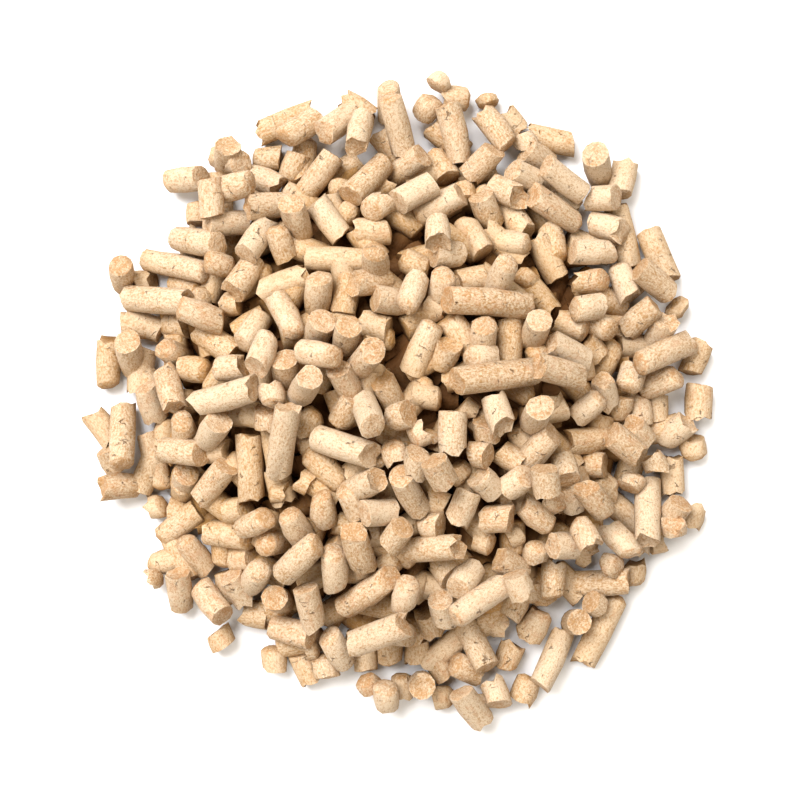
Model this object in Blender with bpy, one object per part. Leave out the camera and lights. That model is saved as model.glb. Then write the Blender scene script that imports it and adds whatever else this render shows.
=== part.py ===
import math

import bmesh
import bpy
import numpy as np
from mathutils import Vector

# Driving sizes, in metres and degrees
PELLET_DIAMETER = 0.0062
DIAMETER_SPREAD = 0.05          # share by which a pellet is thicker or thinner than that
STEEP_LENGTH = 0.0110           # shortest pellet that stands on its end
END_SLANT = 14.0                # steepest broken end
NESTING = 0.86                  # axis distance of two touching pellets, as a share of their radii
STEEPEST_LYING = 32.0           # tilt that a lying pellet may take on what is below it
LAYER_RISE = 0.0046             # how much higher each layer of pellets lies than the one below
STEEP_PROUD = 0.0012            # how far a steep pellet's top stands over its layer
HIGHEST_LIFT = 0.0030           # how far a pellet may ride up over its layer
BED_HEIGHT = 0.0200             # the pellets inside the heap, as one solid mound
BED_RADIUS = 0.0570
BED_SWELL = 0.8                 # exponent of the mound's profile: under 1 is full-shouldered
BED_SINK = 0.0006               # how deep the pellets on the mound sit in it
WEB_HEIGHT = 0.0012             # skirt round the mound that the outer pellets stand in
WEB_INSET = 0.0010              # how far that skirt stays inside the outer pellets' axes
MOUND_HIDES = 0.0530            # inside this radius the mound stands for the lowest pellets
LOOSE_GAP = 0.0003              # clearance round each loose pellet
LOOSE_APART = 0.0009            # least space between two loose pellets of the usual diameter
COVERED = 0.52                  # a pellet whose axis is this near, in diameters seen from above, lies on the other
LOOSE_AT_RIM = 30               # loose pellets counted from the rim inwards
LOOSE_ON_TOP = 29               # loose pellets counted from the middle outwards
HEAP_SIDES = (4, 5, 5)          # sides of a pellet that is part of the heap, lowest layer first
LOOSE_SIDES = 8                 # sides of a loose pellet
BED_SPOKES = 36
BED_RINGS = 3
STATIONS = 11                   # points along a pellet's axis where it is tested for contact
PITCH_STEPS = 27
SEED = 11

PLAN_UNIT = 0.001               # length of one unit in the tables

# Where each pellet lies, in plan units, seen from above: one end of its axis, the other end, and its rise in
# degrees. A rise of 0 is a lying pellet, which settles on what is below it. Any other rise is a steep
# pellet, whose second end is the high one. +Y is the far side and +X the right.
LOWEST = (
    (-64.5, 30, -64, 31.5, 70), (-62, 28, -58, 28, 0), (-53, 27.5, -46, 25.5, 0), (-46, 22.5, -44.5, 24.5, 50),
    (-40, 22, -36, 22.5, 0), (-65.5, 18, -57.5, 17, 0), (-55, 18, -49, 17.5, 0), (-68.2, 14.5, -68.7, 2.5, 0),
    (-60, 12.5, -61.5, 2, 0), (-72, -3.5, -67.5, -9.5, 0), (-68, -11.5, -66.5, -16.5, 0), (-69, -20.5, -60.5, -20.2, 0),
    (-59, -8, -55.5, -21.5, 0), (-59, -25.5, -54.5, -25, 0), (-49.5, -19, -48.5, -17, 60), (-43, -12, -38.5, -11.5, 0),
    (-59, -39.5, -52.5, -37.8, 0), (-58, -42.3, -55.5, -41.5, 0), (-51.2, -40.5, -50.8, -50.2, 0),
    (-42.5, -54.8, -41, -58.6, 0), (-39.5, -37.5, -33, -37, 0), (-36, -50.5, -30, -51.5, 0), (-29.5, -58.5, -28.6, -64, 0),
    (-23, -60.5, -20, -67, 0), (-18, -60, -16, -65.5, 0), (-7.5, -58.5, -7.2, -64.5, 0), (-1.5, -55.5, -1.5, -63, 0),
    (-8, -65.5, -6, -67.8, 0), (1, -65, 1.5, -71, 0), (5, -57.5, 5, -62.5, 0), (9.5, -62, 12, -65.5, 0),
    (9, -71, 14, -70.5, 0), (16, -73.5, 22, -72.5, 0), (22.8, -67, 24.5, -71.5, 0), (32, -65.5, 29.8, -71.5, 0),
    (53, -46.5, 44.5, -62.5, 0), (40, -55.5, 34, -67, 0), (56.5, -39, 57, -44.5, 0), (43, -36.5, 46.5, -37.5, 0),
    (60, -34, 63.5, -33.5, 0), (57, -31, 57, -36.5, 0), (64.5, -27.5, 66.5, -24, 45), (71, -25.5, 69.8, -30, 0),
    (70, -9, 71.5, -14.5, 0), (65.5, -13.5, 66, -22.5, 0), (73, 13.5, 70, 6.5, 0), (72.2, 3.5, 71.8, -4, 0),
    (62, 1, 62, -5.5, 0), (57.5, 1, 57.5, -6, 0), (52, 13, 59, 13, 0), (44, 14, 47, 10, 0), (38, 18, 44, 16, 0),
    (42.5, 8.5, 44, 4, 0), (53, 1, 51.5, -5, 0), (46, -18.5, 51, -22, 0), (42.5, -15, 48.5, -15, 0),
    (39, -20.5, 43, -18, 0), (39.5, -21, 41, -25, 0), (35, -23.5, 38, -22, 0), (55, -15.5, 59, -15.5, 0),
    (65, 23, 69, 21, 0), (60, 40, 65, 28, 0), (52.3, 46.5, 56, 31.5, 0), (47, 42, 53, 39.5, 0),
    (47.5, 54.8, 46.2, 57, 60), (54.8, 56.5, 52.8, 48.5, 0), (32, 62.8, 42, 60.8, 0), (25.8, 68.3, 29.3, 63.8, 0),
    (29.3, 62.5, 31, 60, 0), (11.3, 71.8, 17.5, 71.3, 0), (8.8, 73.5, 12, 76.2, 0), (6, 67, 9, 71, 0),
    (21, 73, 22.5, 69.5, 0), (26, 46, 30, 38.5, 0), (15.5, 50, 16.5, 45.5, 0), (30.5, 58.5, 36.5, 56, 0),
    (35, 50, 43, 45, 0), (14.5, -1.5, 17, -3.5, 0), (20, -5, 20.5, -8.5, 0), (8.5, -6.5, 8.5, -9.5, 0),
    (14, 26.5, 20.5, 28, 0), (6.5, 22, 10, 21, 0), (11.5, 18.5, 17.5, 11, 0), (29.5, 9.5, 35, 10, 0),
    (23, -22.5, 26, -21.5, 0), (-35, -3, -29.5, -4, 0), (-28.5, -2, -28.5, -7, 0), (-22, -18, -19, -19, 0),
    (-15, -32.5, -12.5, -36, 0), (-5.3, -13.3, -4.3, -12.3, 60), (-21, -58.7, -18, -58, 0), (6.5, -43, 11.5, -43.5, 0),
    (20.5, -52, 25, -54, 0), (-32.5, 63.5, -20, 68.5, 0), (-1.5, 72, -1.5, 73, 60), (-48, 52, -45.5, 52, 30),
    (-47, 47, -47, 42, 0), (-39.5, 57.5, -39, 59, 65), (-13.5, 52, -12.5, 47, 0), (-13, 44.5, -9, 41.5, 0),
    (-9, 38.5, -1, 38.5, 0),
)
MIDDLE = (
    (-59, 33.5, -43.5, 29.5, 0), (-44, 32, -37.5, 30.5, 0), (-51.5, 38, -40.5, 35.5, 0), (-63, 24, -48, 22.5, 0),
    (-62.5, 11, -62.5, 13.5, 55), (-51, 10, -54, 12.5, 60), (-49, 7.5, -43, 6.5, 0), (-53, 4.5, -50.3, -1.8, 35),
    (-46, 16, -36, 10, 0), (-41, 7, -34.5, 7.5, 0), (-32.5, 32, -37, 24.5, 0), (-58.7, 3, -57, -4.3, 0),
    (-20.5, 32.5, -5, 31.5, 0), (-30.5, 25, -20.5, 28.5, 0), (-17.5, 23, -17, 27.5, 50), (-17.5, 15, -16, 17.5, 60),
    (-10.5, 27.5, -12, 19.5, 0), (-9.5, 26, -2.5, 27, 0), (-7.5, 17.5, -1.5, 15.5, 0), (-24.5, 7.5, -24.5, 9, 60),
    (-10.5, 3, -12.5, 7, 40), (-6.5, 6, -7.5, 0.5, 0), (-30, 20, -35, 12, 0), (1, 32.5, 7.5, 29, 0),
    (8.5, 32.5, 14, 33, 0), (10.5, 25.5, 11, 28.5, 45), (28.5, 26, 31.5, 29.5, 0), (12, 12.5, 10, 6.5, 0),
    (19.5, 14, 19.5, 17, 55), (26, 18.5, 25.5, 8, 0), (31.5, 15.5, 32, 18, 60), (16, 9.5, 22, 9.5, 0),
    (46.5, 25, 55, 21.5, 0), (52, 32, 55, 24, 0), (43, 27.5, 49, 28, 0), (47.5, 17, 50, 15.5, 40),
    (62, 15.5, 63, 18.5, 50), (62.5, 4.5, 66, 6, 30), (55.5, 7, 53, 2, 0), (47.5, 4.5, 49, -1, 0),
    (-21, 64.5, -26.5, 60.5, 20), (-34, 57, -27.5, 57.5, 0), (-26, 51, -23, 58, 0), (-12.5, 66, -17, 62, 35),
    (-12.5, 71.5, -6, 67, 0), (-1.5, 70, 2, 58.5, 0), (-18.5, 45.5, -12.5, 37.5, 0), (-34, 53.5, -27.5, 50, 0),
    (-38, 56, -36, 55, 50), (-43.5, 40.5, -35, 41.5, 0), (4, 42, 15, 47.5, 0), (9, 58, 12.5, 52, 0),
    (22.5, 50, 28.5, 46.8, 0), (27, 53, 33, 51, 0), (15.5, 42, 20, 33.5, 0), (46, 47.5, 51.5, 47.3, 0),
    (3, 55, 6, 57, 40), (-65, -1.5, -63.5, -15.5, 0), (-49, -6.5, -49, -4.5, 60), (-54, -11.5, -44.5, -12.2, 0),
    (-42.5, -8, -39.5, -5, 50), (-38.5, -15, -45, -22.5, 0), (-56.5, -33.5, -46.7, -26, 0), (-50, -32, -45, -40.3, 0),
    (-40, -26, -34.5, -25, 0), (-44, -31, -33.5, -32, 0), (-33.5, -8, -33, -23, 0), (-28, 3, -26.7, -1.5, 0),
    (-20.5, -7.5, -17.5, -2, 0), (-9.5, 0.5, -13, -6, 0), (-20.5, -11, -11.5, -19.5, 0), (-1.5, -9, 0.5, -13.5, 0),
    (-7, -19, -4, -17.5, 45), (-11, -19, -8.5, -25, 0), (2.5, -19.5, 1, -16.5, 40), (-17.5, -21, -15.5, -28.5, 0),
    (-22, -29.5, -24.5, -25, 45), (-29, -21, -25, -21, 0), (-32, -28, -28.5, -26, 40), (-27.5, -32.5, -30, -32.5, 70),
    (-8.5, -33, -9.5, -29.5, 35), (-6.5, -30.5, -2, -30.5, 0), (35, 1, 36.5, -3, 0), (27.5, -6, 29.5, -10, 0),
    (31.5, -11.5, 35, -7.5, 30), (3, -8.5, 6.5, -7, 0), (23.5, -11.5, 28, -14.5, 0), (25.5, -19.5, 29.5, -16.5, 0),
    (5, -11.5, 4, -16, 0), (13, -15, 16, -18, 0), (6.5, -22.5, 11, -23.8, 0), (16.5, -20.5, 13.5, -27.5, 0),
    (5, -28.5, 10, -28, 0), (25.5, -31.5, 29, -30, 0), (18.5, -31.5, 22.5, -33, 0), (32.5, -32.5, 32, -36.5, 0),
    (23.5, -36, 29.5, -40.3, 0), (55, -6, 58.5, -10, 0), (60, -13, 61.5, -16.5, 0), (59.8, -19.5, 58.2, -32.8, 0),
    (64.5, -28.5, 65, -31.5, 0), (38, -13.5, 39, -18, 0), (-44.5, -46, -40.5, -50.5, 30), (-38.5, -41, -35.8, -46.3, 0),
    (-32.5, -41, -30.8, -38.5, 60), (-27.5, -46.5, -28, -45.5, 75), (-19.5, -48, -20.5, -42.5, 30),
    (-14, -33, -13.5, -43.5, 0), (-7.5, -35.5, -7.5, -41, 0), (1, -35, -3, -39, 0), (-29, -53.5, -19.5, -55, 0),
    (-16, -54, -11.5, -62.5, 0), (-2.5, -66.5, -2, -73, 0), (1, -54.5, 3.5, -54.5, 50), (7, -49.5, 9, -55, 0),
    (10, -37, 12.5, -40.5, 0), (18.5, -37, 14, -42.5, 0), (10, -45.5, 11.5, -51, 0), (32, -41.5, 35.5, -47.5, 0),
    (29.5, -45.5, 27, -51.5, 0), (13, -61.5, 19.5, -65, 0), (28, -58, 25.5, -64, 0), (35, -50, 31.5, -57, 0),
    (6, -67.2, 6, -66.2, 80), (17, -71, 15, -68, 30), (42, -44, 54.5, -42.5, 0), (48, -38, 52, -39, 0),
    (45.5, -47, 47.5, -48.5, 0), (42.3, -52.3, 42.5, -51.5, 80),
)
UPPER = (
    (-49.5, 21.5, -39.5, 17.5, 0), (-44.5, -1, -31, 2.5, 0), (-30, 40.5, -34, 33, 0), (-27.5, 39.5, -25, 32.5, 0),
    (-4.5, 31.5, -4.5, 33, 70), (-27, 23.5, -22, 14, 0), (-4.5, 22.5, 1, 22, 0), (-11, 13.5, -10, 16, 65),
    (-6.5, 9, -5, 10.5, 65), (-22, 11, -12.5, 9, 0), (-28, 14.5, -30.5, 7, 0), (-19.5, 3.5, -18.5, 5, 65),
    (-3, 4.5, 0.5, -2.5, 0), (5, 27.5, 2, 19.5, 0), (23.5, 27.5, 25, 31, 55), (11.5, 22.2, 30, 21.5, 0),
    (8.5, 17.5, 3.5, 6.5, 0), (35, 13, 43, 9, 0), (13, 4, 31.5, 6.5, 0), (31, 7.5, 41.5, 5, 0),
    (36, 40.5, 38, 32, 0), (41, 34.5, 51.5, 34.5, 0), (56.5, 30.5, 64, 25.5, 0), (40, 20.5, 47, 21.5, 0),
    (54, 16.5, 60, 22, 0), (55, 8, 68.5, 13.5, 0), (-22, 48, -14.5, 57, 0), (-8.5, 62.5, -9.5, 58, 40),
    (-10.5, 46.5, -2, 56, 0), (-34, 44, -26, 45.5, 0), (-22.5, 40.5, -23.5, 44, 55), (-6.5, 42.5, -2.5, 45.5, 0),
    (-40.5, 48.5, -32.5, 49.5, 0), (-42.5, 50.5, -42, 42, 0), (12, 69, 15.5, 56.5, 0), (20.5, 68, 26.5, 59, 0),
    (17.5, 53, 23, 58, 0), (0.3, 44.8, 8.5, 49.5, 0), (9, 41, 9.5, 34.5, 0), (19.5, 47, 22.5, 40.8, 0),
    (34.5, 53.8, 44, 48, 0), (31.5, 47.5, 43, 41.3, 0), (23.5, 37, 31, 35.5, 0), (-23.5, -1.5, -26.5, -16.5, 0),
    (-17.5, -8.5, -5.5, -12, 0), (-6, -3, -5, -5.5, 60), (-1.5, -4.2, 3, -3, 0), (-7, -25, -0.5, -25, 0),
    (-17, -31, -26, -40, 0), (1.5, -28, -1.5, -32.5, 0), (3.5, 1.5, 10.5, 0, 0), (12.5, -2.5, 12.5, -11.5, 0),
    (21.5, 0.5, 23.5, -6, 0), (31, -3.5, 31.5, -1.5, 65), (16.5, -12, 20.5, -12.5, 0), (32.5, -15, 33.5, -20.5, 0),
    (8, -13, 11, -18.5, 0), (18.5, -17, 22, -20.5, 0), (20, -27, 26, -26.5, 0), (28.5, -23.5, 35.5, -29.5, 0),
    (3, -34, 14, -32.5, 0), (35.5, -33, 41, -33.3, 0), (46.8, 1.2, 41.5, -4.3, 0), (68.5, -5, 63, -10.5, 0),
    (39.5, -10, 50, -8.5, 0), (49.5, -7.8, 56, -13, 0), (54, -21, 56.5, -17.5, 0), (43, -20, 48.5, -26.5, 0),
    (41, -27, 44, -33, 0), (50, -30, 55, -36, 0), (-1, -40, -12.5, -48.5, 0), (3, -40, 1.5, -47.5, 0),
    (-10, -56, 2, -50, 0), (12.5, -48.5, 24.5, -41.5, 0), (26.5, -39, 28.5, -43.5, 0), (37, -38, 36.5, -46.5, 0),
    (16.5, -53.5, 21.5, -62.5, 0),
)


def bed_height(x, y):
    """Height of the mound: BED_HEIGHT * (1 - (r / BED_RADIUS)^2)^BED_SWELL, and 0 outside it."""
    inside = np.clip(1 - (x * x + y * y) / BED_RADIUS**2, 0, 1)
    return BED_HEIGHT * inside**BED_SWELL


def axis_points(centre, axis, length, inset=0.0):
    """Points spread along a pellet's axis, from this far inside one end to as far inside the other."""
    steps = np.linspace(-0.5, 0.5, STATIONS) * max(length - 2 * inset, 0)
    return centre + steps[:, None] * axis


def rest_heights(x, y, radius, placed, placed_radii):
    """Lowest height of a pellet's axis at each point, over the floor, the mound and earlier pellets."""
    mound = bed_height(x, y)
    heights = np.where(mound > 0, mound + radius - BED_SINK, radius)
    heights = np.maximum(heights, radius)
    if len(placed):
        reach = NESTING * (radius + placed_radii)
        across = np.hypot(x[:, None] - placed[:, 0], y[:, None] - placed[:, 1])
        over = placed[:, 2] + np.sqrt(np.clip(reach**2 - across**2, 0, None))
        heights = np.maximum(heights, np.where(across < reach, over, 0).max(axis=1))
    return heights


def lying_pellet(end_a, end_b, radius, level, placed, placed_radii):
    """Centre, axis and length of a pellet tilted so that its middle lies as low as it can."""
    middle = (end_a + end_b) / 2
    span = max(np.linalg.norm(end_b - end_a), radius)
    along = (end_b - end_a) / span
    inset = 1 - radius / max(span, 2 * radius)
    steps = np.linspace(-0.5, 0.5, STATIONS) * span * inset
    x = middle[0] + steps * along[0]
    y = middle[1] + steps * along[1]
    heights = rest_heights(x, y, radius, placed, placed_radii)
    slopes = np.tan(np.radians(np.linspace(-STEEPEST_LYING, STEEPEST_LYING, PITCH_STEPS)))
    middles = (heights[None, :] - slopes[:, None] * steps).max(axis=1)
    best = np.argmin(middles + 1e-5 * np.abs(slopes))
    slope = slopes[best]
    ceiling = bed_height(*middle) + radius + level * LAYER_RISE + HIGHEST_LIFT
    height = min(middles[best], ceiling)
    tilt = math.atan(slope)
    height = max(height, radius * math.cos(tilt) + span / 2 * abs(slope))
    axis = np.array([along[0] * math.cos(tilt), along[1] * math.cos(tilt), math.sin(tilt)])
    return np.array([middle[0], middle[1], height]), axis, span / math.cos(tilt)


def steep_pellet(end_a, end_b, rise, radius, level):
    """Centre, axis and length of a pellet whose high end shows and whose low end is among the others."""
    span = np.linalg.norm(end_b - end_a)
    along = (end_b - end_a) / span
    tilt = math.radians(rise)
    length = max(span / math.cos(tilt), STEEP_LENGTH)
    axis = np.array([along[0] * math.cos(tilt), along[1] * math.cos(tilt), math.sin(tilt)])
    top = bed_height(*end_b) + (level + 1) * LAYER_RISE + STEEP_PROUD
    centre = np.array([end_b[0], end_b[1], top]) - axis * length / 2
    lowest = radius * math.cos(tilt) + length / 2 * math.sin(tilt)
    centre[2] = max(centre[2], lowest)
    return centre, axis, length


def settle_pellets():
    """Every pellet as a dictionary, laid down layer by layer, the lying ones of a layer first."""
    rng = np.random.default_rng(SEED)
    pellets = []
    placed = np.empty((0, 3))
    placed_radii = np.empty(0)
    for level, rows in enumerate((LOWEST, MIDDLE, UPPER)):
        for steep in (False, True):
            for xa, ya, xb, yb, rise in rows:
                if (rise > 0) != steep:
                    continue
                radius = PELLET_DIAMETER / 2 * (1 + DIAMETER_SPREAD * rng.uniform(-1, 1))
                end_a = np.array([xa, ya]) * PLAN_UNIT
                end_b = np.array([xb, yb]) * PLAN_UNIT
                if steep:
                    centre, axis, length = steep_pellet(end_a, end_b, rise, radius, level)
                else:
                    centre, axis, length = lying_pellet(end_a, end_b, radius, level, placed, placed_radii)
                slants = np.tan(np.radians(END_SLANT)) * rng.uniform(-1, 1, (2, 2))
                pellets.append(dict(level=level, steep=steep, plan=np.array([end_a, end_b]), centre=centre,
                                    axis=axis, length=length, radius=radius, slants=slants,
                                    turn=rng.uniform(0, math.tau)))
                points = axis_points(centre, axis, length, min(radius, length / 2) / 2)
                placed = np.vstack([placed, points])
                placed_radii = np.append(placed_radii, np.full(STATIONS, radius))
    return pellets


def plan_distance(one, other):
    """Least distance between two pellets' drawn axes, seen from above."""
    steps = np.linspace(0, 1, STATIONS)[:, None]
    points = one["plan"][0] + steps * (one["plan"][1] - one["plan"][0])
    others = other["plan"][0] + steps * (other["plan"][1] - other["plan"][0])
    return np.linalg.norm(points[:, None] - others, axis=2).min()


def choose_loose(pellets):
    """Indices of the loose pellets at the rim and on top: lying, with none on them, and apart from each other."""
    free = []
    for i, pellet in enumerate(pellets):
        later = [plan_distance(pellet, other) for other in pellets[i + 1:]]
        if not pellet["steep"] and min(later, default=math.inf) > COVERED * PELLET_DIAMETER:
            free.append(i)
    free.sort(key=lambda i: np.linalg.norm(pellets[i]["plan"].mean(axis=0)))
    chosen = {"rim": [], "top": []}
    for name, order, most in (("rim", free[::-1], LOOSE_AT_RIM), ("top", free, LOOSE_ON_TOP)):
        for i in order:
            taken = chosen["rim"] + chosen["top"]
            nearest = min((plan_distance(pellets[i], pellets[j]) for j in taken), default=math.inf)
            if len(chosen[name]) < most and nearest > PELLET_DIAMETER + 2 * LOOSE_GAP + LOOSE_APART:
                chosen[name].append(i)
    return chosen


def in_mound(pellet):
    return pellet["level"] == 0 and math.hypot(*pellet["centre"][:2]) < MOUND_HIDES


def prism_radius(radius, sides):
    """Corner radius of a prism that has the section area of a round pellet."""
    return radius * math.sqrt(math.tau / (sides * math.sin(math.tau / sides)))


def pellet_mesh(name, pellet, sides, grow=0.0):
    """A prism along the pellet's axis with two slanted ends, standing out by grow on every side.

    A prism that doesn't stand out is flat where it would reach under the floor.
    """
    axis = Vector(pellet["axis"])
    across = axis.orthogonal().normalized()
    up = axis.cross(across)
    radius = prism_radius(pellet["radius"], sides) + grow
    mesh = bmesh.new()
    rings = []
    for end, slant in zip((-1, 1), pellet["slants"]):
        ring = []
        for i in range(sides):
            angle = pellet["turn"] + math.tau * i / sides
            u = math.cos(angle)
            v = math.sin(angle)
            out = end * (pellet["length"] / 2 + grow) + pellet["radius"] * (slant[0] * u + slant[1] * v)
            corner = Vector(pellet["centre"]) + axis * out + (across * u + up * v) * radius
            if grow == 0:
                corner.z = max(corner.z, 0)
            ring.append(mesh.verts.new(corner))
        rings.append(ring)
    for i in range(sides):
        j = (i + 1) % sides
        mesh.faces.new((rings[0][i], rings[0][j], rings[1][j], rings[1][i]))
    mesh.faces.new(rings[0][::-1])
    mesh.faces.new(rings[1])
    bmesh.ops.triangulate(mesh, faces=mesh.faces)
    bmesh.ops.recalc_face_normals(mesh, faces=mesh.faces)
    data = bpy.data.meshes.new(name)
    mesh.to_mesh(data)
    mesh.free()
    return data


def heap_pellet_mesh(pellet):
    return pellet_mesh("joined", pellet, HEAP_SIDES[pellet["level"]])


def bed_mesh(pellets):
    """The mound and its skirt: rings of a polar grid, whose last ring follows the outer pellets."""
    points = np.vstack([axis_points(p["centre"], p["axis"], p["length"]) for p in pellets])
    bearing = np.arctan2(points[:, 1], points[:, 0])
    distance = np.hypot(points[:, 0], points[:, 1])
    mesh = bmesh.new()
    spokes = []
    for i in range(BED_SPOKES):
        angle = math.tau * i / BED_SPOKES
        turned = np.abs((bearing - angle + math.pi) % math.tau - math.pi)
        near = turned < math.tau / BED_SPOKES
        reach = distance[near].max(initial=BED_RADIUS + 2 * WEB_INSET) - WEB_INSET
        radii = list(np.sin(np.linspace(0, math.pi / 2, BED_RINGS + 1)[1:]) * BED_RADIUS) + [reach]
        spoke = []
        for radius in radii:
            x = radius * math.cos(angle)
            y = radius * math.sin(angle)
            spoke.append(mesh.verts.new((x, y, max(bed_height(x, y), WEB_HEIGHT))))
        spoke.append(mesh.verts.new((reach * math.cos(angle), reach * math.sin(angle), 0)))
        spokes.append(spoke)
    crown = mesh.verts.new((0, 0, BED_HEIGHT))
    for i, spoke in enumerate(spokes):
        following = spokes[(i + 1) % BED_SPOKES]
        mesh.faces.new((crown, spoke[0], following[0]))
        for j in range(len(spoke) - 1):
            mesh.faces.new((spoke[j], spoke[j + 1], following[j + 1], following[j]))
    mesh.faces.new([spoke[-1] for spoke in spokes][::-1])
    bmesh.ops.recalc_face_normals(mesh, faces=mesh.faces)
    data = bpy.data.meshes.new("pellet_heap")
    mesh.to_mesh(data)
    mesh.free()
    return data


def keep_largest_body(data):
    """Removes the chips that the loose pellets' places cut off the heap."""
    mesh = bmesh.new()
    mesh.from_mesh(data)
    unseen = set(mesh.verts)
    bodies = []
    while unseen:
        body = [unseen.pop()]
        for vert in body:
            for edge in vert.link_edges:
                other = edge.other_vert(vert)
                if other in unseen:
                    unseen.discard(other)
                    body.append(other)
        bodies.append(body)
    bodies.sort(key=len)
    chips = [vert for body in bodies[:-1] for vert in body]
    bmesh.ops.delete(mesh, geom=chips, context="VERTS")
    mesh.to_mesh(data)
    mesh.free()


def helper_collection(name, meshes):
    """A collection of hidden shapes for one Boolean."""
    collection = bpy.data.collections.new(name)
    bpy.context.scene.collection.children.link(collection)
    for data in meshes:
        helper = bpy.data.objects.new(data.name, data)
        helper.hide_render = True
        helper.display_type = "WIRE"
        collection.objects.link(helper)
    return collection


def heap_object(pellets, fused, loose):
    """The mound with its pellets joined to it and the loose pellets' places cut out."""
    heap = bpy.data.objects.new("pellet_heap", bed_mesh([pellets[i] for i in fused]))
    bpy.context.scene.collection.objects.link(heap)
    joined = helper_collection("joined", [heap_pellet_mesh(pellets[i]) for i in fused])
    cut = helper_collection("cut", [pellet_mesh("cut", pellets[i], LOOSE_SIDES, LOOSE_GAP) for i in loose])
    for collection, operation in ((joined, "UNION"), (cut, "DIFFERENCE")):
        modifier = heap.modifiers.new(collection.name, "BOOLEAN")
        modifier.operation = operation
        modifier.operand_type = "COLLECTION"
        modifier.collection = collection
        modifier.solver = "EXACT"
    graph = bpy.context.evaluated_depsgraph_get()
    solid = bpy.data.meshes.new_from_object(heap.evaluated_get(graph))
    heap.modifiers.clear()
    heap.data = solid
    keep_largest_body(solid)
    for collection in (joined, cut):
        for helper in list(collection.objects):
            bpy.data.objects.remove(helper, do_unlink=True)
        bpy.data.collections.remove(collection)
    return heap


def wood_material(name, colour, roughness):
    material = bpy.data.materials.new(name)
    material.use_nodes = True
    shader = material.node_tree.nodes["Principled BSDF"]
    shader.inputs["Base Color"].default_value = (*colour, 1)
    shader.inputs["Roughness"].default_value = roughness
    shader.inputs["Metallic"].default_value = 0
    material.diffuse_color = (*colour, 1)
    return material


def main():
    for obj in list(bpy.data.objects):
        bpy.data.objects.remove(obj, do_unlink=True)
    pellets = settle_pellets()
    chosen = choose_loose(pellets)
    loose = chosen["rim"] + chosen["top"]
    fused = [i for i in range(len(pellets)) if i not in loose and not in_mound(pellets[i])]
    heap = heap_object(pellets, fused, loose)
    heap.data.materials.clear()
    heap.data.materials.append(wood_material("pressed_sawdust", (0.70, 0.49, 0.29), 0.75))
    loose_material = wood_material("pressed_sawdust_loose", (0.78, 0.58, 0.37), 0.75)
    for place, indices in chosen.items():
        for number, i in enumerate(indices, 1):
            name = f"{place}_pellet_{number:02d}"
            pellet = bpy.data.objects.new(name, pellet_mesh(name, pellets[i], LOOSE_SIDES))
            pellet.data.materials.append(loose_material)
            bpy.context.scene.collection.objects.link(pellet)


main()
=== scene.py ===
import math

import bpy
import numpy as np
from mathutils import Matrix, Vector


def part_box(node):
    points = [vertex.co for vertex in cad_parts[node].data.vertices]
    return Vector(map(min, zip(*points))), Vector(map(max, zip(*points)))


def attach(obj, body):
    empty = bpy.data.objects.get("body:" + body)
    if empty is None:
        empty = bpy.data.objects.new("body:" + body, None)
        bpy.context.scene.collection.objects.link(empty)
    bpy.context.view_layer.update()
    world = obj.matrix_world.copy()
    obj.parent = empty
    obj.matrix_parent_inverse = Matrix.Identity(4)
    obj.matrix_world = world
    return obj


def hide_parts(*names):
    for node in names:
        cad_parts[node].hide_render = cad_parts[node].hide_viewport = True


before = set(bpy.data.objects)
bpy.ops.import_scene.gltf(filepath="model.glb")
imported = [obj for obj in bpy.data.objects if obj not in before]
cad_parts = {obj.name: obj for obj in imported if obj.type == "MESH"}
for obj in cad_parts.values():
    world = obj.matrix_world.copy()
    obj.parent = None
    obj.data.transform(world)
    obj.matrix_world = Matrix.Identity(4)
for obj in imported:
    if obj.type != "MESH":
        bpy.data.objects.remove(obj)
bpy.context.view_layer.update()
print("frame loaded")

mm = 0.001

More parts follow.
